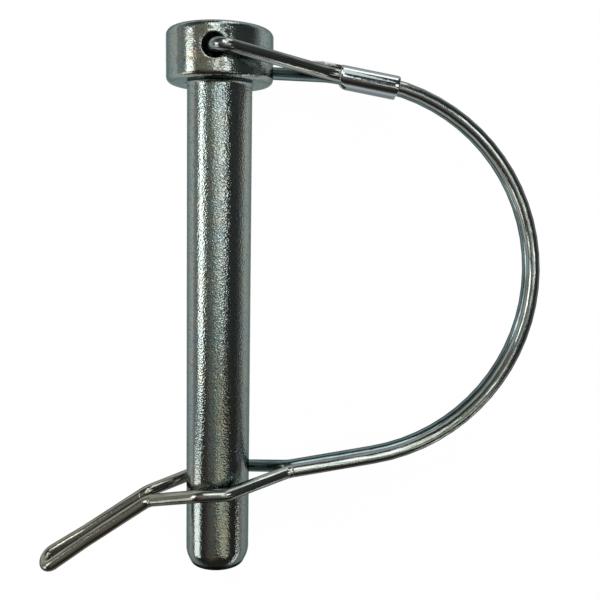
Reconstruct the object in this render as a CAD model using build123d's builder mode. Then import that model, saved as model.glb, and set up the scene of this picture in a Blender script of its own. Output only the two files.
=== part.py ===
from math import asin, atan2, cos, hypot, radians, sin, tan
import os

from build123d import *

# Lynch pin of the pipe and shaft kind: a round pin with a thick head, and a springy bow of doubled
# wire that is hung in the head and snaps over the shank near its tip.
# The pin's axis is Y with the tip at -Y, the head's underside is y = 0, and the bow leaves towards +X.
# All lengths are in millimetres.

# Sizes of the pin
shank_diameter = 10.0
shank_length = 75.5
tip_length = 1.9
tip_taper = 0.9
tip_round = 0.5
neck_round = 0.5
head_diameter = 16.4
head_height = 8.0
head_round = 0.95
hole_height = 4.35
hole_clearance = 0.7
hole_chamfer = 0.25

# Sizes of the wire and of its two legs
wire_diameter = 2.0
strand_gap = 0.2
end_gap = 2.0
end_side_play = 0.15
end_sag = 0.2
turn_in_inner_radius = 0.8
leg_clearance = 0.25
leg_bend_radius = 5.0
leg_lead = 1.4

# Sizes of the sleeve that is crimped round both strands
sleeve_reach = 18.3
sleeve_height = 1.5
sleeve_slope = 10.4
sleeve_length = 9.1
sleeve_wall = 0.57
sleeve_fit = 0.05
sleeve_lip_length = 4.5
sleeve_lip_width = 3.0
sleeve_corner_round = 0.4
sleeve_heel_round = 1.3

# Sizes of the bow
shoulder_radius = 8.0
shoulder_angle = 7.5
bow_angle = 151.2
bow_spread = 0.42

# Sizes of the eye that closes round the shank
eye_from_tip = 15.41
eye_clearance = 0.6
eye_side_spare = 0.15
eye_side_angle = 31.0
eye_bend_radius = 3.0
eye_near_drop = 2.15
eye_front_drop = 0.3
eye_far_drop = 2.4
eye_back_rise = 0.55

# Sizes of the finger tab
tab_length = 21.1
tab_slope = 34.2
tab_twist = 27.0
tab_flare = 3.0
tab_end_inner_radius = 0.4
tab_end_flat = 0.1

# What follows from the sizes
shank_radius = shank_diameter / 2
head_radius = head_diameter / 2
wire_radius = wire_diameter / 2
strand_z = wire_radius + strand_gap / 2
end_x = end_side_play
end_y = hole_height - end_sag


def sleeve_point(along, across=0.0, depth=0.0):
    """A point given along the sleeve's axis from its mouth, across it and in depth."""
    slope = radians(sleeve_slope)
    x = sleeve_reach + along * cos(slope) + across * sin(slope)
    y = sleeve_height - along * sin(slope) + across * cos(slope)
    return Vector(x, y, depth)


# Pin: one turned and upset piece
with BuildPart() as pin:
    with BuildSketch(Plane.XY):
        with BuildLine():
            Polyline(
                (0, head_height),
                (head_radius, head_height),
                (head_radius, 0),
                (shank_radius, 0),
                (shank_radius, tip_length - shank_length),
                (shank_radius - tip_taper, -shank_length),
                (0, -shank_length),
                close=True,
            )
        make_face()
    revolve(axis=Axis.Y)
    rims = pin.edges().filter_by(GeomType.CIRCLE).group_by(SortBy.RADIUS)[-1]
    fillet(rims, head_round)
    neck = pin.edges().filter_by(GeomType.CIRCLE).filter_by_position(Axis.Y, -0.01, 0.01)
    fillet(neck.sort_by(SortBy.RADIUS)[0], neck_round)
    fillet(pin.edges().filter_by(GeomType.CIRCLE).sort_by(Axis.Y)[0], tip_round)
    # Cross hole for the wire's turned-in ends
    with BuildSketch(Plane.XY):
        with Locations((0, hole_height)):
            Circle(wire_radius + hole_clearance)
    extrude(amount=head_radius, both=True, mode=Mode.SUBTRACT)
    by_depth = pin.edges().group_by(Axis.Z)
    chamfer(by_depth[0] + by_depth[-1], hole_chamfer)
pin.part.label = "pin"

# Legs of the wire: straight lines that clear both rims of the head, so that the bow can be
# swung right over it
mouth = sleeve_point(-leg_lead, depth=strand_z)
leg_reach = hypot(mouth.X - end_x, mouth.Y - end_y)
rim_along = max(head_height - head_round - end_y, end_y - head_round)
rim_depth = head_radius - head_round
rim_distance = hypot(leg_reach - rim_along, rim_depth - strand_z)
rim_angle = atan2(rim_depth - strand_z, leg_reach - rim_along)
leg_angle = rim_angle + asin((head_round + leg_clearance + wire_radius) / rim_distance)
leg_corner_z = strand_z + leg_reach * tan(leg_angle)

# Eye: six-sided round the shank, as seen along the pin
eye_z = shank_radius + eye_clearance + wire_radius
eye_side = radians(eye_side_angle)
eye_front_x = (eye_z + eye_side_spare - eye_z * cos(eye_side)) / sin(eye_side)
eye_apex_x = eye_front_x + (eye_z - strand_z) / tan(eye_side)

# Bow: its radius is what brings the eye to its place near the tip
sleeve_heading = -radians(sleeve_slope)
bow_heading = sleeve_heading - radians(shoulder_angle)
run_heading = bow_heading - radians(bow_angle)
sleeve_end = sleeve_point(sleeve_length, depth=strand_z)
bow_start_x = sleeve_end.X + shoulder_radius * (sin(sleeve_heading) - sin(bow_heading))
bow_start_y = sleeve_end.Y + shoulder_radius * (cos(bow_heading) - cos(sleeve_heading))
eye_drop = eye_from_tip - shank_length - bow_start_y - (eye_apex_x - bow_start_x) * tan(run_heading)
drop_share = cos(run_heading) - cos(bow_heading)
reach_share = sin(bow_heading) - sin(run_heading)
bow_radius = eye_drop / (drop_share - reach_share * tan(run_heading))

# Finger tab: both strands lie in one plane that is twisted about the tab's own length,
# spread a little and meet in a round end
tab_direction = Vector(-cos(radians(tab_slope)), -sin(radians(tab_slope)), 0)
tab_end_radius = tab_end_inner_radius + wire_radius
tab_end_width = tab_end_radius * tan(radians(45 + tab_flare / 2)) + tab_end_flat / 2
tab_end_along = tab_length - wire_radius
tab_flare_along = tab_end_along - (tab_end_width - strand_z) / tan(radians(tab_flare))


def tab_plane(root):
    """The plane in which the tab's strands lie, with its x axis along the tab."""
    across = tab_direction.cross(Vector(0, 0, 1))
    across = across.rotate(Axis((0, 0, 0), tab_direction), -tab_twist)
    return Plane(origin=root, x_dir=tab_direction, z_dir=across)


def eye_points(apex, side):
    """Corners of one strand from the eye's apex to the tip of the tab."""
    near_y = apex.Y - eye_near_drop
    far_y = near_y - eye_front_drop
    rise = eye_back_rise if side < 0 else 0
    tab = tab_plane(Vector(-eye_apex_x, far_y - eye_far_drop, 0))
    return [
        Vector(apex.X, apex.Y, side * apex.Z),
        Vector(eye_front_x, near_y + rise, side * eye_z),
        Vector(-eye_front_x, far_y + rise, side * eye_z),
        tab.from_local_coords(Vector(0, side * strand_z, 0)),
        tab.from_local_coords(Vector(tab_flare_along, side * strand_z, 0)),
        tab.from_local_coords(Vector(tab_end_along, side * tab_end_width, 0)),
    ]


# Wire bow: one length of spring wire, bent double
with BuildPart() as wire_bow:
    with BuildLine() as path:
        # From the turned-in end through the sleeve and round the bow
        leg = FilletPolyline(
            (end_x, end_y, end_gap / 2),
            (end_x, end_y, leg_corner_z),
            mouth,
            sleeve_end,
            radius=[turn_in_inner_radius + wire_radius, leg_bend_radius],
        )
        shoulder = JernArc(leg @ 1, leg % 1, shoulder_radius, -shoulder_angle, mode=Mode.PRIVATE)
        bow = JernArc(shoulder @ 1, shoulder % 1, bow_radius, -bow_angle, mode=Mode.PRIVATE)
        # Each strand leaves the middle plane a little on its way round
        spread_axis = Axis(leg @ 1, leg % 1)
        shoulder = shoulder.rotate(spread_axis, -bow_spread)
        bow = bow.rotate(spread_axis, -bow_spread)
        add(shoulder)
        add(bow)
        mirror(about=Plane.XY)
        # Round the eye and the tab, and back again
        run = (eye_apex_x - (bow @ 1).X) / (bow % 1).X
        apex = bow @ 1 + (bow % 1) * run
        near = [bow @ 1] + eye_points(apex, 1)
        far = [(bow @ 1) - Vector(0, 0, 2 * (bow @ 1).Z)] + eye_points(apex, -1)
        bends = [eye_bend_radius] * 5 + [tab_end_radius]
        FilletPolyline(near + far[::-1], radius=bends + bends[::-1])
    wire_path = path.wire()
    with BuildSketch(Plane(origin=wire_path @ 0, z_dir=wire_path % 0)):
        Circle(wire_radius)
    sweep(path=wire_path)
wire_bow.part.label = "wire_bow"

# Ferrule: a sleeve of flattened tube with a lip over the legs
bore_width = wire_diameter + 2 * sleeve_fit
bore_depth = 2 * strand_z + bore_width
sleeve_width = bore_width + 2 * sleeve_wall
sleeve_depth = bore_depth + 2 * sleeve_wall
sleeve_axis = sleeve_point(1) - sleeve_point(0)
with BuildPart() as ferrule:
    # Seen from the side
    side_plane = Plane(origin=sleeve_point(0), x_dir=sleeve_axis, z_dir=(0, 0, 1))
    with BuildSketch(side_plane) as side_view:
        with Locations((sleeve_length / 2, 0)):
            Rectangle(sleeve_length, sleeve_width)
        corners = side_view.vertices().group_by(Axis.X)
        fillet(corners[-1], sleeve_corner_round)
        fillet(corners[0].sort_by(Axis.Y)[0], sleeve_heel_round)
    extrude(amount=sleeve_depth / 2, both=True)
    # Lip, which is the upper wall carried on over the legs
    with BuildSketch(side_plane):
        with Locations((0, sleeve_width / 2 - sleeve_wall / 2)):
            Rectangle(2 * sleeve_lip_length, sleeve_wall)
    extrude(amount=sleeve_lip_width / 2, both=True)
    # Flattened tube, seen from the end
    end_plane = Plane(origin=sleeve_point(-sleeve_lip_length), x_dir=(0, 0, 1), z_dir=sleeve_axis)
    with BuildSketch(end_plane):
        SlotOverall(sleeve_depth, sleeve_width)
    extrude(amount=sleeve_lip_length + sleeve_length, mode=Mode.INTERSECT)
    with BuildSketch(end_plane):
        SlotOverall(bore_depth, bore_width)
    extrude(amount=sleeve_lip_length + sleeve_length, mode=Mode.SUBTRACT)
ferrule.part.label = "ferrule"

os.makedirs("parts", exist_ok=True)
export_step(pin.part, "parts/pin.step")
export_step(wire_bow.part, "parts/wire_bow.step")
export_step(ferrule.part, "parts/ferrule.step")
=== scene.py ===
# %% [markdown]
# # A round-bow wire lock pin
# The part is three pieces of bright zinc-plated steel: a round pin with a thick head, a bow of doubled
# spring wire that hangs in the head and snaps over the pin near its tip, and a sleeve crimped round both
# strands. The CAD model has already fixed where everything is. This script dresses it: each piece is
# modelled again with the fine edges and marks that the eye reads as real metal, in the same place.

# %% The frame
from math import cos, pi, radians, sin, sqrt, tan
import bmesh
import bpy
from mathutils import Matrix, Vector, noise


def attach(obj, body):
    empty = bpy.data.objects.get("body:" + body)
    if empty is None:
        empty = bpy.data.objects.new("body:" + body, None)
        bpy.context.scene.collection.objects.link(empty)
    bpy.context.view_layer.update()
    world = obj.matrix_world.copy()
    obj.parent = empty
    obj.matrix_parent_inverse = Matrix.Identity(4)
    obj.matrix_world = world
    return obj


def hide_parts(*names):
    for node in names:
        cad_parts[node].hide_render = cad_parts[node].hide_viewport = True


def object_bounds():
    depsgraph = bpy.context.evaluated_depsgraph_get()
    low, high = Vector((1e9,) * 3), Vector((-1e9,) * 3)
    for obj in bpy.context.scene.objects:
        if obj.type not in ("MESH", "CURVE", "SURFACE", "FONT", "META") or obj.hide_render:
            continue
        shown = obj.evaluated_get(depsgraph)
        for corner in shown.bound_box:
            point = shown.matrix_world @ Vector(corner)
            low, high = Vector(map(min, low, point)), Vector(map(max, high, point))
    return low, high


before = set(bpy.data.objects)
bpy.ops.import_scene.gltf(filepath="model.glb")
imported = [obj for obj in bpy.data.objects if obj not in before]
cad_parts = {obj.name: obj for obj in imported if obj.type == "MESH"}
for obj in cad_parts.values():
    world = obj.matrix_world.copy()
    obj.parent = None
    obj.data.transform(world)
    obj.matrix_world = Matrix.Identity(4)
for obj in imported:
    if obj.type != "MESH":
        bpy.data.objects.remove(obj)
cad_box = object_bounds()
MM = 0.001

# %% [markdown]
# ## Small tools
# Every piece is worked out in millimetres, because the sizes of a pin are easy to think about that way,
# and shrunk to metres at the very end. Faces are shaded smooth, and only edges that turn sharply are left
# crisp, as a real edge is.

# %% Make a piece from its mesh
CRISP_ABOVE = radians(40)


def make_piece(bm, name):
    """Turn a bmesh in millimetres into an object in metres, at the origin, with normals outwards."""
    bmesh.ops.recalc_face_normals(bm, faces=bm.faces)
    bmesh.ops.scale(bm, vec=(MM, MM, MM), verts=bm.verts)
    mesh = bpy.data.meshes.new(name)
    bm.to_mesh(mesh)
    bm.free()
    mesh.shade_smooth()
    mesh.set_sharp_from_angle(angle=CRISP_ABOVE)
    piece = bpy.data.objects.new(name, mesh)
    bpy.context.scene.collection.objects.link(piece)
    print(name, "has", len(mesh.polygons), "faces")
    return piece


def stands_for(piece, node, body):
    """The piece rides on its body and is shown in place of the CAD node."""
    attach(piece, body)
    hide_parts(node)


# %% Push a ring of edges on
def edges_at(verts):
    """The edges at some points, each once, and in the same order on every run, which a set doesn't keep."""
    return list(dict.fromkeys(e for v in verts for e in v.link_edges))


def extrude_ring(bm, ring):
    """Extrude a closed ring of edges. The new ring comes back with its points, still in the same place."""
    grown = bmesh.ops.extrude_edge_only(bm, edges=ring)["geom"]
    verts = [g for g in grown if isinstance(g, bmesh.types.BMVert)]
    fresh = set(verts)
    return [e for e in edges_at(verts) if set(e.verts) <= fresh], verts


# %% [markdown]
# ## The pin
# The real pin is upset from a steel bar: the head is squeezed out of the bar's end, so its rims are round
# and its sides are a little uneven. A lathe is the natural way to draw it. Half of its outline is spun
# round the axis, and the cross hole is then let into the head ring by ring, because a clean ring of faces
# round the hole reflects far better than the ragged cut that a boolean leaves.

# %% Corners of the outline
SHANK_RADIUS = 5.0
TIP_RADIUS = 4.1
TAPER_START, TIP_END = -73.6, -75.5
HEAD_RADIUS = 8.2
HEAD_HEIGHT = 8.0
HOLE_HEIGHT = 4.35
HOLE_RADIUS = 1.7
HOLE_MOUTH = 1.98
WINDOW_LOW, WINDOW_HIGH = 1.75, 6.95
WINDOW_ROWS = 20
COLUMNS = 200
outline = [
    # across, along, how far back the corner is rounded, how many faces in the round
    (0.0, HEAD_HEIGHT, 0, 0),
    (HEAD_RADIUS, HEAD_HEIGHT, 0.95, 9),
    (HEAD_RADIUS, WINDOW_HIGH, 0, 0),
    (HEAD_RADIUS, WINDOW_LOW, 0, 0),
    (HEAD_RADIUS, 0.0, 0.95, 9),
    (SHANK_RADIUS, 0.0, 0.5, 6),
    (SHANK_RADIUS, TAPER_START, 0.75, 6),
    (TIP_RADIUS, TIP_END, 0.42, 8),
    (0.0, TIP_END, 0, 0),
]
print("corners:", len(outline), "over", HEAD_HEIGHT - TIP_END, "mm")

# %% Round the corners and divide the runs
ROW_STEP = 0.5
HAIR = 0.01
pin = bmesh.new()
turned = [pin.verts.new((across, along, 0)) for across, along, _, _ in outline]
for pair in zip(turned, turned[1:]):
    pin.edges.new(pair)
for corner, (_, _, back, faces) in zip(turned, outline):
    if faces:
        bmesh.ops.bevel(
            pin,
            geom=[corner],
            offset=back,
            offset_type="OFFSET",
            segments=faces,
            profile=0.5,
            affect="VERTICES",
            material=-1,
        )


def divide(bm, edges, step):
    """Cut straight runs into even lengths."""
    for edge in list(edges):
        cuts = round(edge.calc_length() / step) - 1
        if cuts > 0:
            bmesh.ops.subdivide_edges(bm, edges=[edge], cuts=cuts)


def in_window(edge):
    """Whether an edge of the outline lies in the rows where the hole will be."""
    heights = [v.co.y for v in edge.verts]
    return min(heights) > WINDOW_LOW - HAIR and max(heights) < WINDOW_HIGH + HAIR


divide(pin, [e for e in pin.edges if in_window(e)], (WINDOW_HIGH - WINDOW_LOW) / WINDOW_ROWS)
divide(pin, [e for e in pin.edges if not in_window(e)], ROW_STEP)
print("the outline has", len(pin.verts), "points")

# %% Spin the outline
bmesh.ops.spin(
    pin,
    geom=pin.verts[:] + pin.edges[:],
    axis=(0, 1, 0),
    cent=(0, 0, 0),
    angle=2 * pi,
    steps=COLUMNS,
    use_merge=True,
)
bmesh.ops.remove_doubles(pin, verts=pin.verts, dist=0.001)
print("turned:", len(pin.faces), "faces")

# %% [markdown]
# The hole starts as a square window in the head's side, twenty faces wide and twenty high. A circle with as
# many points as the window's edge is joined to it, so every face between them is a clean four-sided one.
# The circle is then pushed inwards, round the worn rim and down to near the middle of the head. The same is
# done from the back, and the two bores are joined.

# %% Open a window for the cross hole
WINDOW_ANGLE = radians(WINDOW_ROWS / 2 * 360 / COLUMNS)
ON_ROUND_SIDE = 0.98


def on_head(co, front):
    """The same point, moved along the sight line on to the round side of the head."""
    return Vector((co.x, co.y, front * sqrt(HEAD_RADIUS**2 - co.x**2)))


def open_window(bm, front):
    """Cut a square window in the front or the back of the head's side and give back its edge."""
    reach = HEAD_RADIUS * cos(WINDOW_ANGLE)
    gone = []
    for face in bm.faces:
        middle = face.calc_center_median()
        in_rows = WINDOW_LOW < middle.y < WINDOW_HIGH
        if in_rows and middle.z * front > reach and middle.xz.length > HEAD_RADIUS * ON_ROUND_SIDE:
            gone.append(face)
    bmesh.ops.delete(bm, geom=gone, context="FACES")
    return [e for e in bm.edges if e.is_boundary and e.verts[0].co.z * front > HOLE_RADIUS]


# %% Sink the cross hole
SPOKE_CUTS = 5
# Radius and depth of each step of the rim, which tumbling has worn round, and then depths of the bore
RIM_STEPS = ((1.90, 0.02), (1.82, 0.07), (1.75, 0.15), (1.71, 0.26), (HOLE_RADIUS, 0.40))
BORE_STEPS = (7.2, 6.4, 5.4, 4.2, 2.8, 1.2)
bore_mark = pin.verts.layers.float.new("bore")


def sink_hole(bm, front):
    """Join a round mouth to the window, round its rim and push it to the middle of the head."""
    window = open_window(bm, front)
    place = Matrix.Translation((0, HOLE_HEIGHT, 0))
    ring_verts = bmesh.ops.create_circle(
        bm, segments=4 * WINDOW_ROWS, radius=HOLE_MOUTH, cap_ends=False, matrix=place
    )["verts"]
    for v in ring_verts:
        v.co = on_head(v.co, front)
    ring = edges_at(ring_verts)
    before = set(bm.edges)
    bmesh.ops.bridge_loops(bm, edges=window + ring)
    spokes = [e for e in bm.edges if e not in before]
    cut = bmesh.ops.subdivide_edges(bm, edges=spokes, cuts=SPOKE_CUTS)
    for item in cut["geom_inner"]:
        if isinstance(item, bmesh.types.BMVert):
            item.co = on_head(item.co, front)
    centre = Vector((0, HOLE_HEIGHT, 0))
    for radius, depth in RIM_STEPS:
        ring, ring_verts = extrude_ring(bm, ring)
        for v in ring_verts:
            flat = Vector((v.co.x, v.co.y, 0)) - centre
            spot = centre + flat.normalized() * radius
            v.co = on_head(spot, front) - Vector((0, 0, front * depth))
    for depth in BORE_STEPS:
        ring, ring_verts = extrude_ring(bm, ring)
        for v in ring_verts:
            v.co.z = front * depth
            v[bore_mark] = 1
    return ring


inner_front = sink_hole(pin, 1)
inner_back = sink_hole(pin, -1)
bmesh.ops.bridge_loops(pin, edges=inner_front + inner_back)
print("edges left open or doubled:", sum(not e.is_manifold for e in pin.edges))

# %% [markdown]
# A forged head is never a perfect cylinder. Slow noise presses each point in by less than a tenth of a
# millimetre, and much less on the shank, which is plain bar. Nobody sees the dents themselves, but every
# reflection bends a little over them, and that is what separates steel from a drawing of steel.

# %% Press in the pin's surface
HEAD_PRESS, SHANK_PRESS, TOP_SHARE = 0.09, 0.02, 0.6
MEAN_PRESS, PRESS_SWING = 0.5, 0.35
NEAR_AXIS = 0.5
# Scale and share of each layer of noise
SHANK_DENTS = ((0.33, 0.6), (0.9, 0.4))
HEAD_DENTS = SHANK_DENTS + ((1.6, 0.45),)


def press_in(bm):
    """Move the outer skin towards the axis by slow noise, never outwards."""
    for v in bm.verts:
        radius = v.co.xz.length
        in_bore = abs(v.co.x) < HOLE_MOUTH and abs(v.co.y - HOLE_HEIGHT) < HOLE_MOUTH
        if in_bore or radius < NEAR_AXIS:
            continue
        depth, dents = (HEAD_PRESS, HEAD_DENTS) if v.co.y > 0 else (SHANK_PRESS, SHANK_DENTS)
        slow = sum(noise.noise(v.co * scale) * share for scale, share in dents)
        press = depth * (MEAN_PRESS + PRESS_SWING * slow)
        v.co.x *= 1 - press / radius
        v.co.z *= 1 - press / radius
        if v.co.y > HEAD_HEIGHT - HAIR:
            v.co.y -= press * TOP_SHARE


press_in(pin)
plated_pin = make_piece(pin, "plated_pin")
stands_for(plated_pin, "pin", "pin")

# %% [markdown]
# ## The wire bow
# The bow is one length of 2 mm spring wire. It is made here as a bending machine makes it: feed the wire
# straight, bend it round a former, feed again. The machine's programme is the list of corners, in
# millimetres, with the radius of the former at each. Both halves are listed, because the real strands
# aren't quite alike at the eye.

# %% The bending programme
WIRE_RADIUS = 1.0
TURN_IN, LEG_BEND, SHOULDER, BOW, EYE_BEND, TAB_END = 1.8, 5.0, 8.0, 29.52705, 3.0, 1.4
from_head = [
    ((0.15, 4.15, 1.0), 0),
    ((0.15, 4.15, 11.8982), TURN_IN),
    ((16.923, 1.7527, 1.1), LEG_BEND),
    ((27.7662, -0.2374, 1.1), SHOULDER),
    ((137.6989, -35.7442, 1.2105), BOW),
    ((11.2751, -60.0884, 1.5534), EYE_BEND),
]
front_eye = [
    ((2.1216, -62.2384, 6.6), EYE_BEND),
    ((-2.1216, -62.5384, 6.6), EYE_BEND),
    ((-10.9944, -65.3515, 0.9801), EYE_BEND),
    ((-20.9069, -72.088, 0.9801), EYE_BEND),
    ((-27.5102, -76.809, 1.359), TAB_END),
]
back_eye = [
    ((2.1216, -61.6884, -6.6), EYE_BEND),
    ((-2.1216, -61.9884, -6.6), EYE_BEND),
    ((-11.5558, -64.5254, -0.9801), EYE_BEND),
    ((-21.4683, -71.2619, -0.9801), EYE_BEND),
    ((-28.2887, -75.6636, -1.359), TAB_END),
]
to_head = [((x, y, -z), radius) for (x, y, z), radius in reversed(from_head)]
programme = from_head + front_eye + back_eye[::-1] + to_head
print("bends:", len(programme) - 2)

# %% [markdown]
# Each point of the wire also keeps where it was while the wire was still straight: round the section, and
# along the length. The finish reads that later, so that the fine lines of the drawing die follow every
# bend.

# %% Feed and bend
AROUND = 40
FEED_STEP = 0.7
BEND_STEP = radians(5)
CUT_ROUND = 0.12
NICK_PLAIN, NICK_SLOPE = 0.04, 0.09


class Wire:
    """A wire on the bending machine: its open end, where that is, and how much has been fed."""

    def __init__(self, start, heading):
        self.bm = bmesh.new()
        self.straight = self.bm.verts.layers.float_vector.new("straight_wire")
        self.at = Vector(start)
        self.heading = Vector(heading).normalized()
        self.fed = 0.0
        turn = Vector((0, 0, 1)).rotation_difference(self.heading).to_matrix().to_4x4()
        place = Matrix.Translation(self.at) @ turn
        circle = bmesh.ops.create_circle(self.bm, segments=AROUND, radius=WIRE_RADIUS, matrix=place)
        self.verts = circle["verts"]
        for v in self.verts:
            local = place.inverted() @ v.co
            v[self.straight] = (local.x, local.y, 0)
        self.ring = edges_at(self.verts)
        self.cap()

    def cap(self):
        """Close the open end with a flat face."""
        bmesh.ops.edgeloop_fill(self.bm, edges=self.ring)

    def grow(self, distance):
        """Add a ring at the open end, and note how far along the straight wire it was."""
        self.ring, self.verts = extrude_ring(self.bm, self.ring)
        self.fed += distance
        for v in self.verts:
            v[self.straight].z = self.fed

    def swell(self, factor):
        """Make the open end thicker or thinner."""
        place = Matrix.Translation(-self.at)
        bmesh.ops.scale(self.bm, vec=(factor, factor, factor), verts=self.verts, space=place)

    def feed(self, length):
        """Push straight wire out."""
        count = max(1, round(length / FEED_STEP))
        for _ in range(count):
            self.grow(length / count)
            move = self.heading * (length / count)
            bmesh.ops.translate(self.bm, vec=move, verts=self.verts)
            self.at += move

    def bend(self, radius, angle, axis):
        """Turn the wire round a former."""
        towards = axis.cross(self.heading).normalized()
        centre = self.at + towards * radius
        count = max(2, round(angle / BEND_STEP))
        turn = Matrix.Rotation(angle / count, 3, axis)
        for _ in range(count):
            self.grow(radius * angle / count)
            bmesh.ops.rotate(self.bm, cent=centre, matrix=turn, verts=self.verts)
            self.at = centre + turn @ (self.at - centre)
            self.heading = (turn @ self.heading).normalized()

    def nick(self, depth):
        """The fine line that the edge of the former leaves round the wire."""
        for factor in (1 - depth, 1 / (1 - depth)):
            self.feed(NICK_PLAIN)
            self.feed(NICK_SLOPE)
            self.swell(factor)
        self.feed(NICK_PLAIN)


# %% Run the programme
NICK_LENGTH = 3 * NICK_PLAIN + 2 * NICK_SLOPE
# Corners with a nick before them, and how deep it is
NICKS = {5: 0.05, 8: 0.055, 13: 0.055, 16: 0.05}
corners = [Vector(point) for point, _ in programme]
formers = [radius for _, radius in programme]
headings = [(b - a).normalized() for a, b in zip(corners, corners[1:])]
turns = [0] + [a.angle(b) for a, b in zip(headings, headings[1:])] + [0]
used = [radius * tan(turn / 2) for radius, turn in zip(formers, turns)]
runs = [(b - a).length - u - w for a, b, u, w in zip(corners, corners[1:], used, used[1:])]
runs[0] -= CUT_ROUND
runs[-1] -= CUT_ROUND
wire = Wire(corners[0], headings[0])
wire.swell(1 - CUT_ROUND)
wire.feed(CUT_ROUND)
wire.swell(1 / (1 - CUT_ROUND))
for corner, run in enumerate(runs, start=1):
    if corner in NICKS:
        wire.feed(run - NICK_LENGTH)
        wire.nick(NICKS[corner])
    else:
        wire.feed(run)
    if corner < len(runs):
        axis = headings[corner - 1].cross(headings[corner]).normalized()
        wire.bend(formers[corner], turns[corner], axis)
wire.feed(CUT_ROUND)
wire.swell(1 - CUT_ROUND)
wire.cap()
WIRE_MIDDLE = wire.fed / 2
print(f"wire fed: {wire.fed:.1f} mm, ends {(wire.at - corners[-1]).length:.3f} mm from its place")
sprung_wire = make_piece(wire.bm, "sprung_wire")
stands_for(sprung_wire, "wire_bow", "bow")

# %% [markdown]
# ## The crimped sleeve
# The sleeve is a short tube that has been pressed flat round the two strands. Its section is a slot
# shape, outside and inside. A ring of that shape is carried along the outside, round the end, back along
# the inside and round the mouth again, so the wall has real thickness and softly rounded ends.

# %% Section of the sleeve
SLEEVE_START = Vector((18.3, 1.5, 0))
SLEEVE_SLOPE = radians(10.4)
SLEEVE_LENGTH = 9.1
ALONG = Vector((cos(SLEEVE_SLOPE), -sin(SLEEVE_SLOPE), 0))
ACROSS = Vector((sin(SLEEVE_SLOPE), cos(SLEEVE_SLOPE), 0))
HALF_WIDTH = 1.62
WALL = 0.57
STRAND_Z = 1.1
HEEL_ROUND = 1.3
END_ROUND = 0.4
print("sleeve:", SLEEVE_LENGTH, "x", 2 * HALF_WIDTH, "x", 2 * (HALF_WIDTH + STRAND_Z), "mm")


def mouth_set_back(across):
    """How far the mouth's lower edge, the heel, is cut back at a height across the sleeve."""
    below = -HALF_WIDTH + HEEL_ROUND - across
    return HEEL_ROUND - sqrt(max(HEEL_ROUND**2 - max(below, 0) ** 2, 0))


def end_set_back(across):
    """How far the far end's corners are rounded off."""
    beyond = abs(across) - HALF_WIDTH + END_ROUND
    return END_ROUND - sqrt(max(END_ROUND**2 - max(beyond, 0) ** 2, 0))


def sleeve_place(section, along, inwards):
    """A point of the sleeve: its place on the section, how far along, and how deep in the wall."""
    radius = HALF_WIDTH - WALL * inwards
    across = section.x * radius
    depth = section.y * radius + section.z * STRAND_Z
    front = mouth_set_back(section.x * HALF_WIDTH)
    back = end_set_back(section.x * HALF_WIDTH)
    share = along / SLEEVE_LENGTH
    travel = front + (SLEEVE_LENGTH - front - back) * share
    return SLEEVE_START + ALONG * travel + ACROSS * across + Vector((0, 0, depth))


# %% Carry the section round the wall
SLEEVE_SEGMENTS = 64
FLAT_CUTS = 8
WALL_STEPS, WALL_RUN = 16, 8.8
WALL_FROM, WALL_TO = 0.14, 8.95
# Each point of the way round the wall: how far along the sleeve, and how deep in the wall
outside = [(WALL_FROM + WALL_RUN * k / WALL_STEPS, 0.0) for k in range(WALL_STEPS)] + [(WALL_TO, 0.0)]
far_end = [(9.03, 0.05), (9.08, 0.14), (9.1, 0.28), (9.1, 0.72), (9.08, 0.86), (9.03, 0.95)]
inside = [(WALL_TO - WALL_RUN * k / WALL_STEPS, 1.0) for k in range(WALL_STEPS + 1)]
near_end = [(0.07, 0.95), (0.02, 0.86), (0.0, 0.72), (0.0, 0.28), (0.02, 0.14), (0.07, 0.05)]
wall_path = outside + far_end + inside + near_end
sleeve = bmesh.new()
section_of = sleeve.verts.layers.float_vector.new("section")
half_step = Matrix.Rotation(pi / SLEEVE_SEGMENTS, 4, "Z")
circle = bmesh.ops.create_circle(sleeve, segments=SLEEVE_SEGMENTS, radius=1, matrix=half_step)["verts"]
for v in circle:
    v[section_of] = (v.co.x, v.co.y, 1 if v.co.y > 0 else -1)
flats = [e for e in sleeve.edges if e.verts[0].co.y * e.verts[1].co.y < 0]
added = bmesh.ops.subdivide_edges(sleeve, edges=flats, cuts=FLAT_CUTS)["geom_inner"]
flat_half = sin(pi / SLEEVE_SEGMENTS)
for v in (g for g in added if isinstance(g, bmesh.types.BMVert)):
    v[section_of] = (1 if v.co.x > 0 else -1, v.co.y, v.co.y / flat_half)
ring, verts = list(sleeve.edges), list(sleeve.verts)
first_ring = ring
for k, (along, inwards) in enumerate(wall_path):
    if k:
        ring, verts = extrude_ring(sleeve, ring)
    for v in verts:
        v.co = sleeve_place(v[section_of], along, inwards)
bmesh.ops.bridge_loops(sleeve, edges=ring + first_ring)
print("edges left open or doubled:", sum(not e.is_manifold for e in sleeve.edges))

# %% [markdown]
# One side of the mouth carries on over the legs as a short thin lip. Its faces are picked from the flat
# end of the wall and pulled out in steps, each a little thinner and less even than the last.

# %% Pull out the lip
LIP_LENGTH, LIP_HALF, LIP_ABOVE = 4.5, 1.5, 0.6
LIP_STEPS, WHOLE_STEPS = 16, 2
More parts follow.
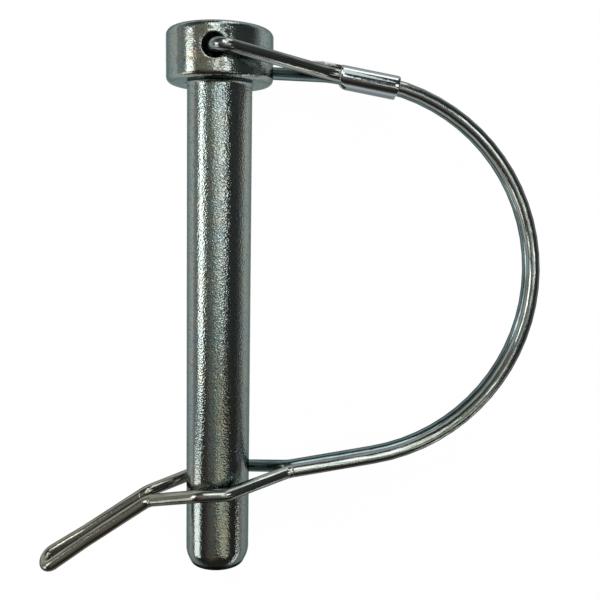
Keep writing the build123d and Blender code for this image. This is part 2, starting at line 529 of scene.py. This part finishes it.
# What each step takes off the lip's thickness and width, and how far it sinks and wanders
THINNING, NARROWING, SINKING = 0.02, 0.012, 0.012
WANDER, WANDER_SCALE = 0.11, 2.6
lip_faces = []
for face in sleeve.faces:
    middle = face.calc_center_median()
    offset = middle - SLEEVE_START
    at_mouth = abs(offset.dot(ALONG)) < HAIR
    if at_mouth and offset.dot(ACROSS) > LIP_ABOVE and abs(middle.z) < LIP_HALF:
        lip_faces.append(face)
print("lip faces:", len(lip_faces))
torn_mark = sleeve.verts.layers.float.new("torn")
for k in range(LIP_STEPS):
    grown = bmesh.ops.extrude_face_region(sleeve, geom=lip_faces)["geom"]
    bmesh.ops.delete(sleeve, geom=lip_faces, context="FACES_ONLY")
    lip_faces = [g for g in grown if isinstance(g, bmesh.types.BMFace)]
    lip_verts = [g for g in grown if isinstance(g, bmesh.types.BMVert)]
    bmesh.ops.translate(sleeve, vec=-ALONG * LIP_LENGTH / LIP_STEPS, verts=lip_verts)
    middle = sum((v.co for v in lip_verts), Vector()) / len(lip_verts)
    for v in lip_verts:
        offset = v.co - middle
        v.co -= ACROSS * offset.dot(ACROSS) * THINNING
        v.co.z -= offset.z * NARROWING
        v.co -= ACROSS * (SINKING + WANDER * noise.noise(v.co * WANDER_SCALE))
        v[torn_mark] = 1 if k >= WHOLE_STEPS else 0
crimped_sleeve = make_piece(sleeve, "crimped_sleeve")
stands_for(crimped_sleeve, "ferrule", "bow")

# %% [markdown]
# ## Finish
# All three pieces are plated with bright zinc. Up close the plating isn't one grey. Tumbling leaves a fine
# bumpy grain on the pin, the plating bath leaves cool blue-green and warm olive patches, and the drawing
# die leaves lines along the wire. The grain with its patches is one node group and the lines are another,
# each with its own inputs, so that the three materials can share them and still differ.

# %% Helpers for nodes
def add_node(tree, kind, **values):
    """Add a node and set its plain properties and inputs by name."""
    node = tree.nodes.new(kind)
    for key, value in values.items():
        if hasattr(node, key):
            setattr(node, key, value)
        else:
            node.inputs[key].default_value = value
    return node


def combine(tree, operation, *values, use_clamp=False):
    """A Math node. Each value is a plain number or the output of another node."""
    node = add_node(tree, "ShaderNodeMath", operation=operation, use_clamp=use_clamp)
    for socket, value in zip(node.inputs, values):
        if isinstance(value, (int, float)):
            socket.default_value = value
        else:
            tree.links.new(value, socket)
    return node.outputs[0]


def combine_vectors(tree, operation, source, vector=(0, 0, 0)):
    """A Vector Math node on the output of another node and a plain vector."""
    node = add_node(tree, "ShaderNodeVectorMath", operation=operation)
    tree.links.new(source, node.inputs[0])
    node.inputs[1].default_value = vector
    gives_number = operation in ("DISTANCE", "DOT_PRODUCT", "LENGTH")
    return node.outputs["Value" if gives_number else "Vector"]


def remap(tree, source, low, high, to_low=0.0, to_high=1.0):
    """Stretch a range of values over another."""
    node = add_node(tree, "ShaderNodeMapRange")
    node.inputs["From Min"].default_value = low
    node.inputs["From Max"].default_value = high
    node.inputs["To Min"].default_value = to_low
    node.inputs["To Max"].default_value = to_high
    tree.links.new(source, node.inputs["Value"])
    return node.outputs[0]


def blend_colour(tree, share, first, second, blend_type="MIX"):
    """Mix two colours, each a plain value or the output of another node."""
    node = add_node(tree, "ShaderNodeMix", data_type="RGBA", blend_type=blend_type)
    tree.links.new(share, node.inputs["Factor"])
    for socket, colour in (("A", first), ("B", second)):
        if isinstance(colour, tuple):
            node.inputs[socket].default_value = (*colour, 1)
        else:
            tree.links.new(colour, node.inputs[socket])
    return node.outputs["Result"]


def soft_noise(tree, place, scale, **values):
    """Noise at a place, with its scale read from a socket."""
    node = add_node(tree, "ShaderNodeTexNoise", **values)
    tree.links.new(place, node.inputs["Vector"])
    tree.links.new(scale, node.inputs["Scale"])
    return node.outputs["Fac"]


# %% Helpers for node groups
def new_group(name, inputs, outputs):
    """An empty node group with its sockets. Inputs are pairs of name and kind, outputs are numbers."""
    tree = bpy.data.node_groups.new(name, "ShaderNodeTree")
    for label, kind in inputs:
        tree.interface.new_socket(label, in_out="INPUT", socket_type="NodeSocket" + kind)
    for label in outputs:
        tree.interface.new_socket(label, in_out="OUTPUT", socket_type="NodeSocketFloat")
    return tree, tree.nodes.new("NodeGroupInput"), tree.nodes.new("NodeGroupOutput")


def use_group(tree, group, place, **values):
    """Put a group into a material, at a place, with its other inputs set by name."""
    node = tree.nodes.new("ShaderNodeGroup")
    node.node_tree = group
    for key, value in values.items():
        node.inputs[key.replace("_", " ")].default_value = value
    tree.links.new(place, node.inputs["Place"])
    return node


# %% Tumbled grain
ELSEWHERE = (0.031, 0.017, 0.043)
STAIN_FINER = 1.9


def tumbled_grain():
    """Grain height, the roughness that goes with it, and the plating's patches, stains and pits."""
    inputs = [("Place", "Vector"), ("Grain Scale", "Float"), ("Patch Scale", "Float")]
    tree, start, end = new_group("tumbled grain", inputs, ["Height", "Matt", "Patch", "Stain", "Pit"])
    place, grain_scale, patch_scale = (start.outputs[label] for label, _ in inputs)
    moved = combine_vectors(tree, "ADD", place, ELSEWHERE)
    stain_scale = combine(tree, "MULTIPLY", patch_scale, STAIN_FINER)
    bumps = soft_noise(tree, place, grain_scale, Detail=2.0, Roughness=0.55)
    patch = soft_noise(tree, place, patch_scale, Detail=3.0, Roughness=0.55)
    stain = soft_noise(tree, moved, stain_scale, Detail=4.0, Roughness=0.6, Distortion=0.4)
    specks = soft_noise(tree, moved, grain_scale, Detail=1.0, Roughness=0.5)
    cells = add_node(tree, "ShaderNodeTexVoronoi", feature="SMOOTH_F1", Smoothness=0.2)
    tree.links.new(place, cells.inputs["Vector"])
    tree.links.new(grain_scale, cells.inputs["Scale"])
    results = {
        "Height": combine(tree, "ADD", bumps, cells.outputs["Distance"]),
        "Matt": remap(tree, bumps, 0.4, 0.62),
        "Patch": remap(tree, patch, 0.38, 0.62),
        "Stain": remap(tree, stain, 0.46, 0.6),
        "Pit": remap(tree, specks, 0.56, 0.64),
    }
    for label, value in results.items():
        tree.links.new(value, end.inputs[label])
    return tree


grain_group = tumbled_grain()
print("group:", grain_group.name, "with", len(grain_group.nodes), "nodes")


# %% Lines of the drawing die
DRAWN_OUT = (1.0, 1.0, 0.035)


def drawn_lines():
    """Fine lines along a wire. Its place is where the wire was while it was still straight."""
    inputs = [("Place", "Vector"), ("Fineness", "Float")]
    tree, start, end = new_group("drawn lines", inputs, ["Height", "Line"])
    stretched = combine_vectors(tree, "MULTIPLY", start.outputs["Place"], DRAWN_OUT)
    lines = soft_noise(tree, stretched, start.outputs["Fineness"], Detail=3.0, Roughness=0.6)
    tree.links.new(lines, end.inputs["Height"])
    tree.links.new(remap(tree, lines, 0.42, 0.62), end.inputs["Line"])
    return tree


line_group = drawn_lines()
print("group:", line_group.name, "with", len(line_group.nodes), "nodes")

# %% [markdown]
# The pin is tumbled, so its grain runs the same every way. It is deepest on the upper shank, fades towards
# the tip and down one side, where the pin has been rubbed, and is softer on the head. The plating turns
# cool in places and olive in others, and brown where the wire rubs beside the cross hole. Inside the hole
# the colour is darkened as painted shade and the metal is duller, and round the edge of the tip the colour
# is darkened as a painted dark reflection.

# %% Helpers for the metals
def start_metal(name, edge_tint):
    """A metal with nothing on it yet, and the share of light that it keeps at a glancing angle."""
    material = bpy.data.materials.new(name)
    material.use_nodes = True
    shader = material.node_tree.nodes["Principled BSDF"]
    shader.inputs["Metallic"].default_value = 1.0
    shader.inputs["Specular Tint"].default_value = (*edge_tint, 1)
    return material, material.node_tree, shader


def duller(tree, matt, where, amount):
    """A roughness that is raised by an amount where a mark is."""
    return combine(tree, "MULTIPLY_ADD", where, amount, matt, use_clamp=True)


def raise_surface(tree, shader, height, depth):
    """Let a height bend the light on the surface. Its depth is in millimetres."""
    bump = add_node(tree, "ShaderNodeBump", Strength=1.0, Distance=depth * MM)
    tree.links.new(height, bump.inputs["Height"])
    tree.links.new(bump.outputs["Normal"], shader.inputs["Normal"])


# %% Colours of the pin
COOL_ZINC, OLIVE_ZINC = (0.25, 0.295, 0.293), (0.282, 0.301, 0.27)
RUB_BROWN, WIRE_RUBS_AT = (0.31, 0.25, 0.18), (-0.0015, 0.003, 0.008)
PIT_DARK, PIT_SHARE = (0.07, 0.078, 0.075), 0.5
# Painted shade inside the bore
BORE_PAINTED_SHADE = (0.06, 0.078, 0.09)
# Painted dark reflection round the tip
TIP_PAINTED_SHADE = (0.03, 0.032, 0.04)


def painted_tip_shade(tree, place, along):
    """How much painted dark reflection the tip gets: more at its edge than on its flat end."""
    flat = combine_vectors(tree, "MULTIPLY", place, (1.0, 0.0, 1.0))
    from_axis = combine_vectors(tree, "LENGTH", flat)
    edge = remap(tree, from_axis, 3.4 * MM, 3.8 * MM, 0.35, 0.95)
    return combine(tree, "MULTIPLY", remap(tree, along, -74.4 * MM, -74.8 * MM), edge)


def pin_colour(tree, place, along, grain, bore):
    """Cool and olive patches, a brown stain where the wire rubs, pits, painted shade in the bore and a
    painted dark reflection on the tip.
    """
    colour = blend_colour(tree, grain.outputs["Patch"], COOL_ZINC, OLIVE_ZINC)
    from_rub = combine_vectors(tree, "DISTANCE", place, WIRE_RUBS_AT)
    near_rub = remap(tree, from_rub, 2.0 * MM, 4.5 * MM, 0.75, 0.0)
    stained = combine(tree, "MULTIPLY", grain.outputs["Stain"], near_rub)
    colour = blend_colour(tree, stained, colour, RUB_BROWN)
    pitted = combine(tree, "MULTIPLY", grain.outputs["Pit"], PIT_SHARE)
    colour = blend_colour(tree, pitted, colour, PIT_DARK)
    # Painted shade inside the bore
    colour = blend_colour(tree, bore, colour, BORE_PAINTED_SHADE)
    # Painted dark reflection round the tip
    return blend_colour(tree, painted_tip_shade(tree, place, along), colour, TIP_PAINTED_SHADE)


# %% Tumbled zinc for the pin
GRAIN_DEPTH = 0.034
HEAD_GRAIN = 0.38
HEAD_DULL, BORE_DULL = 0.06, 0.5


def grain_left(tree, across, along, on_head):
    """How much of the grain is left: less towards the tip, on the head and on the rubbed side."""
    depth = add_node(tree, "ShaderNodeMix", data_type="FLOAT")
    tree.links.new(on_head, depth.inputs["Factor"])
    tree.links.new(remap(tree, along, -30 * MM, -70 * MM, 1.0, 0.5), depth.inputs["A"])
    depth.inputs["B"].default_value = HEAD_GRAIN
    rubbed_side = remap(tree, across, -3.5 * MM, -1.0 * MM, 0.38, 1.0)
    return combine(tree, "MULTIPLY", depth.outputs["Result"], rubbed_side)


def tumbled_zinc():
    """The pin's metal."""
    material, tree, shader = start_metal("tumbled zinc", (0.3, 0.37, 0.37))
    place = tree.nodes.new("ShaderNodeTexCoord").outputs["Object"]
    grain = use_group(tree, grain_group, place, Grain_Scale=3700.0, Patch_Scale=230.0)
    split = tree.nodes.new("ShaderNodeSeparateXYZ")
    tree.links.new(place, split.inputs[0])
    across, along = split.outputs["X"], split.outputs["Y"]
    on_head = remap(tree, along, -0.5 * MM, 0.5 * MM)
    bore = add_node(tree, "ShaderNodeAttribute", attribute_name="bore").outputs["Fac"]
    tree.links.new(pin_colour(tree, place, along, grain, bore), shader.inputs["Base Color"])
    matt = remap(tree, grain.outputs["Matt"], 0, 1, 0.07, 0.15)
    matt = duller(tree, matt, on_head, HEAD_DULL)
    tree.links.new(duller(tree, matt, bore, BORE_DULL), shader.inputs["Roughness"])
    left = grain_left(tree, across, along, on_head)
    raise_surface(tree, shader, combine(tree, "MULTIPLY", grain.outputs["Height"], left), GRAIN_DEPTH)
    return material


plated_pin.data.materials.append(tumbled_zinc())
print("finish of the pin:", plated_pin.data.materials[0].name)

# %% [markdown]
# The wire is drawn through a die, so it is smoother than the pin and its lines run along it. They are read
# from the coordinates that each point kept from before the bending. The same coordinates tell how far a
# place is from the middle of the wire: the eye and the tab, which are bent hardest, are coloured olive
# brown, and the half of the wire that lies underneath is painted darker and cooler, as painted shade and a
# painted reflection of the floor.
# The sleeve is pressed from smooth strip, so only a faint grain shows, except on its torn lip.

# %% Drawn zinc for the wire
WIRE_COOL, WIRE_OLIVE = (0.32, 0.345, 0.335), (0.335, 0.345, 0.32)
# Painted shade and painted floor reflection for the half of the wire that lies underneath
UNDER_HALF_PAINTED_SHADE = (0.16, 0.21, 0.215)
# Olive brown for the eye and the tab
EYE_AND_TAB_OLIVE = (0.32, 0.312, 0.27)
LINE_SHADE = (0.55, 0.56, 0.55)
LINE_DEPTH, LINE_GRAIN = 0.026, 0.15
# How far from the wire's middle the olive brown begins, and where it is full
OLIVE_FROM, OLIVE_FULL = 37, 30


def wire_colour(tree, straight, grain, lines):
    """Patches, painted shade on the half that lies underneath, the olive eye and tab, and the drawn lines.
    """
    colour = blend_colour(tree, grain.outputs["Patch"], WIRE_COOL, WIRE_OLIVE)
    split = tree.nodes.new("ShaderNodeSeparateXYZ")
    tree.links.new(straight, split.inputs[0])
    past_middle = combine(tree, "SUBTRACT", split.outputs["Z"], WIRE_MIDDLE)
    # Painted shade and painted floor reflection on the half that lies underneath
    colour = blend_colour(tree, remap(tree, past_middle, -1, 1), colour, UNDER_HALF_PAINTED_SHADE)
    from_middle = combine(tree, "ABSOLUTE", past_middle)
    olive_share = remap(tree, from_middle, OLIVE_FROM, OLIVE_FULL)
    colour = blend_colour(tree, olive_share, colour, EYE_AND_TAB_OLIVE)
    return blend_colour(tree, lines.outputs["Line"], colour, LINE_SHADE, blend_type="MULTIPLY")


def drawn_zinc():
    """The wire's metal."""
    material, tree, shader = start_metal("drawn zinc", (0.22, 0.25, 0.26))
    place = tree.nodes.new("ShaderNodeTexCoord").outputs["Object"]
    grain = use_group(tree, grain_group, place, Grain_Scale=1500.0, Patch_Scale=160.0)
    straight = add_node(tree, "ShaderNodeAttribute", attribute_name="straight_wire").outputs["Vector"]
    lines = use_group(tree, line_group, straight, Fineness=5.0)
    tree.links.new(wire_colour(tree, straight, grain, lines), shader.inputs["Base Color"])
    matt = remap(tree, lines.outputs["Line"], 0, 1, 0.08, 0.25)
    tree.links.new(matt, shader.inputs["Roughness"])
    sockets = grain.outputs["Height"], LINE_GRAIN, lines.outputs["Height"]
    raise_surface(tree, shader, combine(tree, "MULTIPLY_ADD", *sockets), LINE_DEPTH)
    return material


# %% Pressed zinc for the sleeve
STRIP_COOL, STRIP_OLIVE = (0.34, 0.37, 0.385), (0.365, 0.37, 0.35)
TORN_PALE, TORN_DULL, TORN_DEEPER = (0.8, 0.81, 0.8), 0.5, 30
STRIP_DEPTH = 0.005


def pressed_zinc():
    """The sleeve's metal."""
    material, tree, shader = start_metal("pressed zinc", (0.3, 0.34, 0.36))
    place = tree.nodes.new("ShaderNodeTexCoord").outputs["Object"]
    grain = use_group(tree, grain_group, place, Grain_Scale=1300.0, Patch_Scale=200.0)
    torn = add_node(tree, "ShaderNodeAttribute", attribute_name="torn").outputs["Fac"]
    colour = blend_colour(tree, grain.outputs["Patch"], STRIP_COOL, STRIP_OLIVE)
    tree.links.new(blend_colour(tree, torn, colour, TORN_PALE), shader.inputs["Base Color"])
    matt = remap(tree, grain.outputs["Matt"], 0, 1, 0.05, 0.1)
    tree.links.new(duller(tree, matt, torn, TORN_DULL), shader.inputs["Roughness"])
    deeper = remap(tree, torn, 0, 1, 1, TORN_DEEPER)
    raise_surface(tree, shader, combine(tree, "MULTIPLY", grain.outputs["Height"], deeper), STRIP_DEPTH)
    return material


sprung_wire.data.materials.append(drawn_zinc())
crimped_sleeve.data.materials.append(pressed_zinc())
print("finishes:", [m.name for m in bpy.data.materials if m.name.endswith("zinc")])

# %% [markdown]
# ## Studio
# Polished metal has no look of its own. It shows what stands round it, so the studio is part of the
# picture: a white floor, a grey horizon, a dim ceiling with a few soft patches of light in it, and long
# soft lamps round the pin. The dark ceiling gives the metal its depth, and each lamp gives it one of its
# bright lines.

# %% Sky
HORIZON = (0.27, 0.29, 0.29)
NEAR_CEILING, FAR_CEILING = (0.05, 0.044, 0.04), (0.074, 0.082, 0.085)
NO_LIGHT = (0.0, 0.0, 0.0)


def soft_zone(tree, sight, towards, inner, outer, colour):
    """A soft-edged patch of light in the sky, given by where it is and how wide, in degrees."""
    dot = combine_vectors(tree, "DOT_PRODUCT", sight, Vector(towards).normalized())
    share = remap(tree, dot, cos(radians(outer)), cos(radians(inner)))
    return blend_colour(tree, share, NO_LIGHT, colour)


scene = bpy.context.scene
scene.world = bpy.data.worlds.new("studio")
scene.world.use_nodes = True
sky = scene.world.node_tree
sight = sky.nodes.new("ShaderNodeTexCoord").outputs["Generated"]
split = sky.nodes.new("ShaderNodeSeparateXYZ")
sky.links.new(sight, split.inputs[0])
ceiling = blend_colour(sky, remap(sky, split.outputs["Y"], -0.45, 0.05), NEAR_CEILING, FAR_CEILING)
total = blend_colour(sky, remap(sky, split.outputs["Z"], 0.03, 0.16), HORIZON, ceiling)
zones = [
    # towards, inner and outer edge in degrees, colour
    ((-0.98, 0.05, -0.1), 10, 45, (0.24, 0.25, 0.25)),
    ((-0.95, 0.12, 0.28), 12, 40, (0.07, 0.08, 0.075)),
    ((-0.42, 0.24, 0.88), 8, 27, (0.33, 0.33, 0.25)),
    ((-0.14, -0.12, 0.98), 4, 18, (0.11, 0.2, 0.21)),
    ((-0.24, -0.40, 0.88), 6, 26, (0.16, 0.12, 0.10)),
]
for zone in zones:
    add = add_node(sky, "ShaderNodeMix", data_type="RGBA", blend_type="ADD")
    add.inputs["Factor"].default_value = 1.0
    sky.links.new(total, add.inputs["A"])
    sky.links.new(soft_zone(sky, sight, *zone), add.inputs["B"])
    total = add.outputs["Result"]
sky.links.new(total, sky.nodes["Background"].inputs["Color"])
print("sky zones:", len(zones))


# %% Lamps
PIN_MIDDLE = Vector((0, -0.035, 0))


def strip_lamp(name, start, end, width, radiance, tint):
    """A long soft lamp between two points that faces the pin, and how bright its face looks."""
    start, end = Vector(start), Vector(end)
    middle = (start + end) / 2
    along = (end - start).normalized()
    away = middle - PIN_MIDDLE
    away = (away - along * away.dot(along)).normalized()
    across = along.cross(away)
    data = bpy.data.lights.new(name, "AREA")
    data.shape = "RECTANGLE"
    data.size, data.size_y = width, (end - start).length
    data.energy = radiance * pi * data.size * data.size_y
    data.color = tint
    lamp = bpy.data.objects.new(name, data)
    turn = Matrix((across, along, away)).transposed().to_4x4()
    lamp.matrix_world = Matrix.Translation(middle) @ turn
    lamp.visible_camera = False
    scene.collection.objects.link(lamp)
    print(f"{name}: {data.energy:.2f} W")


# %% Hang the lamps
COOL_WHITE = (0.97, 1.0, 0.99)
lamps = [
    # name, from, to, width, how bright its face looks, tint
    ("left lamp", (-0.42, -0.145, 0.23), (-0.42, 0.11, 0.25), 0.145, 4.6, (1.0, 1.0, 0.97)),
    ("low left lamp", (-0.42, -0.19, 0.12), (-0.39, -0.33, 0.11), 0.18, 2.8, (1.0, 1.0, 0.98)),
    ("overhead lamp", (0.116, -0.05, 0.335), (0.116, 0.07, 0.315), 0.094, 3.6, COOL_WHITE),
    ("near overhead lamp", (0.001, -0.05, 0.335), (0.001, 0.17, 0.30), 0.052, 2.7, COOL_WHITE),
    ("far overhead lamp", (0.03, 0.14, 0.29), (0.04, 0.36, 0.17), 0.10, 1.6, COOL_WHITE),
    ("back lamp", (-0.045, 0.09, 0.30), (-0.06, 0.30, 0.20), 0.07, 3.2, COOL_WHITE),
    ("far low lamp", (0.02, 0.45, 0.10), (0.20, 0.42, 0.10), 0.2, 2.8, (0.98, 1.0, 0.99)),
    ("olive lamp", (0.02, -0.16, 0.50), (0.36, -0.32, 0.34), 0.10, 1.1, (1.0, 0.97, 0.76)),
    ("low right lamp", (0.18, -0.37, 0.022), (0.36, -0.22, 0.022), 0.05, 2.2, (1.0, 1.0, 0.94)),
]
for lamp in lamps:
    strip_lamp(*lamp)

# %% [markdown]
# The floor is white to the camera. In reflections it is white near the pin and dims farther away, a painted
# shade that only reflections see, and it still darkens a little where the pin shades it.

# %% Floor
FLOOR_HALF = 3
low = cad_box[0].z
floor_bm = bmesh.new()
place = Matrix.Translation((0, 0, low))
bmesh.ops.create_grid(floor_bm, x_segments=1, y_segments=1, size=FLOOR_HALF, matrix=place)
floor_mesh = bpy.data.meshes.new("floor")
floor_bm.to_mesh(floor_mesh)
floor_bm.free()
floor = bpy.data.objects.new("floor", floor_mesh)
scene.collection.objects.link(floor)

# %% White for the floor
SHOWN_WHITE, SHOWN_SHARE = 1.04, 0.93
# Middle of the painted shade on the floor: reflections see it bright here and dimmer farther away
PAINTED_SHADE_MIDDLE = (-0.05, 0.03, low)
white = bpy.data.materials.new("white floor")
white.use_nodes = True
tree = white.node_tree
paint = tree.nodes["Principled BSDF"]
paint.inputs["Base Color"].default_value = (0.85, 0.85, 0.85, 1)
paint.inputs["Roughness"].default_value = 1.0
paint.inputs["Specular IOR Level"].default_value = 0.0
place = tree.nodes.new("ShaderNodeTexCoord").outputs["Object"]
# Painted shade on the floor, seen only in reflections
painted_floor_shade = remap(tree, combine_vectors(tree, "DISTANCE", place, PAINTED_SHADE_MIDDLE), 0.09, 0.2, 1.0, 0.33)
rays = tree.nodes.new("ShaderNodeLightPath").outputs
shown = rays["Is Camera Ray"]
strength = combine(tree, "MAXIMUM", shown, painted_floor_shade)
glow = add_node(tree, "ShaderNodeEmission")
tree.links.new(combine(tree, "MULTIPLY", strength, SHOWN_WHITE), glow.inputs["Strength"])
for ray in ("Is Glossy Ray", "Is Transmission Ray"):
    shown = combine(tree, "MAXIMUM", shown, rays[ray])
show = tree.nodes.new("ShaderNodeMixShader")
tree.links.new(combine(tree, "MULTIPLY", shown, SHOWN_SHARE), show.inputs["Fac"])
tree.links.new(paint.outputs[0], show.inputs[1])
tree.links.new(glow.outputs[0], show.inputs[2])
tree.links.new(show.outputs[0], tree.nodes["Material Output"].inputs["Surface"])
floor_mesh.materials.append(white)
print("floor at", round(low * 1000, 2), "mm")

# %% [markdown]
# ## Camera
# The photograph is taken from just above, with the pin lying on the table and its head at the top. The
# camera's place and turn were worked out from the outlines of the pin.

# %% Camera
CAMERA_PLACE = (0.0134906, -0.0204234, 0.1256965)
ROLL, SWAY, PITCH = -0.0158, -0.0057, 0.0986
into_view = Matrix.Rotation(ROLL, 3, "Z") @ Matrix.Rotation(SWAY, 3, "Y") @ Matrix.Rotation(PITCH, 3, "X")
camera_data = bpy.data.cameras.new("camera")
camera_data.sensor_width = 36
camera_data.lens = 48.29
camera_data.clip_start = 0.005
camera_data.clip_end = 10
camera = bpy.data.objects.new("camera", camera_data)
scene.collection.objects.link(camera)
camera.matrix_world = Matrix.Translation(CAMERA_PLACE) @ into_view.transposed().to_4x4()
scene.camera = camera
scene.view_settings.view_transform = "Standard"
print("camera is", round(CAMERA_PLACE[2] * 1000, 1), "mm above the pin's axis")
